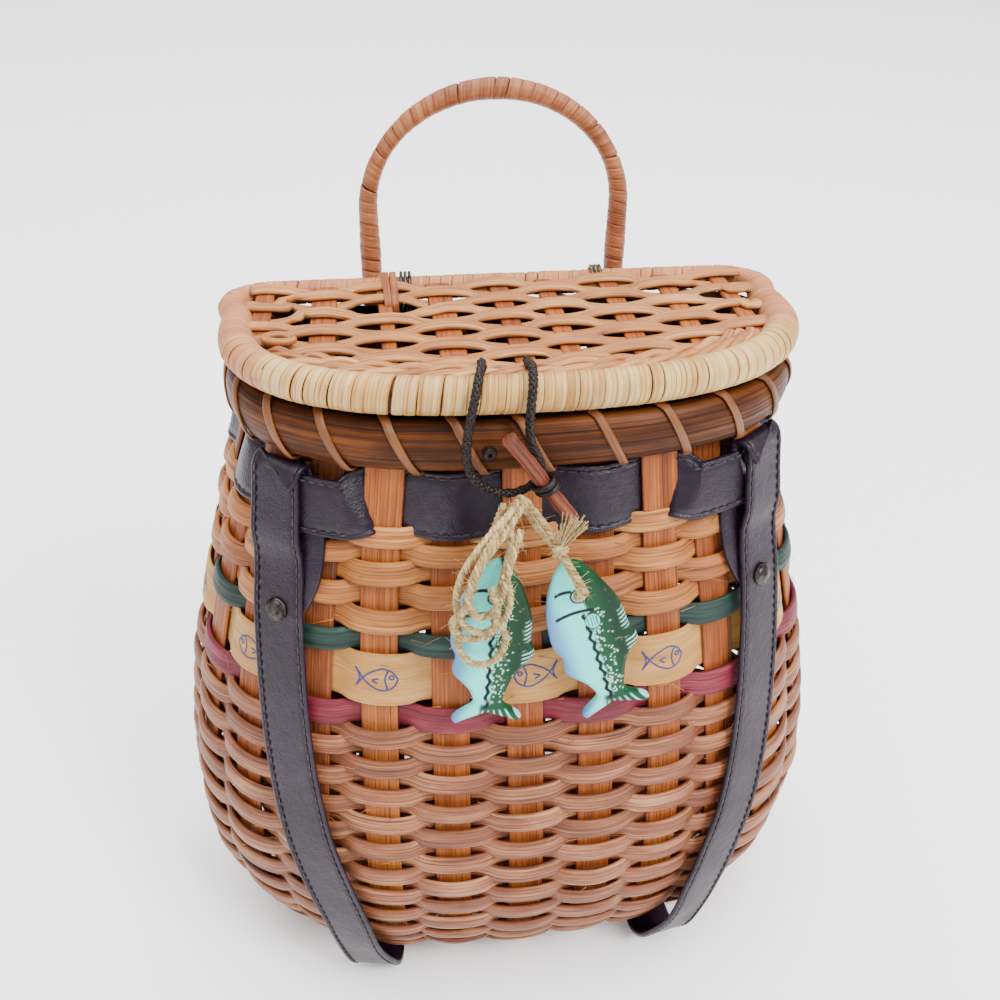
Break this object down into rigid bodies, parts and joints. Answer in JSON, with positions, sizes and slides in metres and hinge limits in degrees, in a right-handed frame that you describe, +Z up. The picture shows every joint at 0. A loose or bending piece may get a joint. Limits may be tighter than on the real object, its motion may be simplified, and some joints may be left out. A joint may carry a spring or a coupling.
{
  "type": "fishing creel bag",
  "caption": "Woven fishing creel bag with a bulging body, flat back, hinged woven lid, cane handle, leather straps and toggle cord with fish ornaments.",
  "frame": {"origin": "on the floor under the middle of the basket, handle and straps included, ornaments and cords left out", "axes": "+Z up, -Y towards the front with the toggle, +X to the viewer's right when facing the front"},
  "size_m": [0.257, 0.1446, 0.3227],
  "materials": {
    "reed": "plain flat and round reed, honey to salmon, slightly worn",
    "green_reed": "dyed reed, matt",
    "natural_reed": "plain flat reed with blue pen drawing",
    "red_reed": "dyed reed, matt",
    "rim_reed": "stained half-round reed, satin",
    "light_cane": "glossy natural cane",
    "dark_cane": "stained cane, satin",
    "leather": "dark purple-brown, waxed",
    "rivet": "dull steel",
    "wire": "dark annealed wire",
    "cord": "waxed braided cord",
    "toggle_wood": "worn red-brown stick",
    "twine": "jute twine",
    "painted_fish": "painted wood, satin"
  },
  "bodies": {
    "basket": {"basket_body": "reed", "green_row": "green_reed", "pen_row": "natural_reed", "red_row": "red_reed", "leather_band": "leather", "rim_outer_reed": "rim_reed", "rim_inner_reed": "rim_reed", "rim_lashing": "dark_cane", "strap_left": "leather", "strap_right": "leather", "rivet_left_front": "rivet", "rivet_left_back": "rivet", "rivet_right_front": "rivet", "rivet_right_back": "rivet", "hinge_wire_left": "wire", "hinge_wire_right": "wire", "handle": "dark_cane", "handle_tack_left": "wire", "handle_tack_right": "wire", "rim_knot": "cord"},
    "lid": {"lid_front_rim": "light_cane", "lid_back_rim": "dark_cane", "lid_weave": "reed", "lid_tie": "dark_cane", "closure_cord": "cord", "toggle": "toggle_wood", "twine_left": "twine", "twine_right": "twine", "twine_loop": "twine", "fish_left": "painted_fish", "fish_right": "painted_fish"}
  },
  "joints": [
    {"name": "lid_hinge", "type": "hinge", "parent": "basket", "child": "lid", "pos_m": [0, 0.04981, 0.25325], "axis": [-1, 0, 0], "range_deg": [0, 90]}
  ]
}
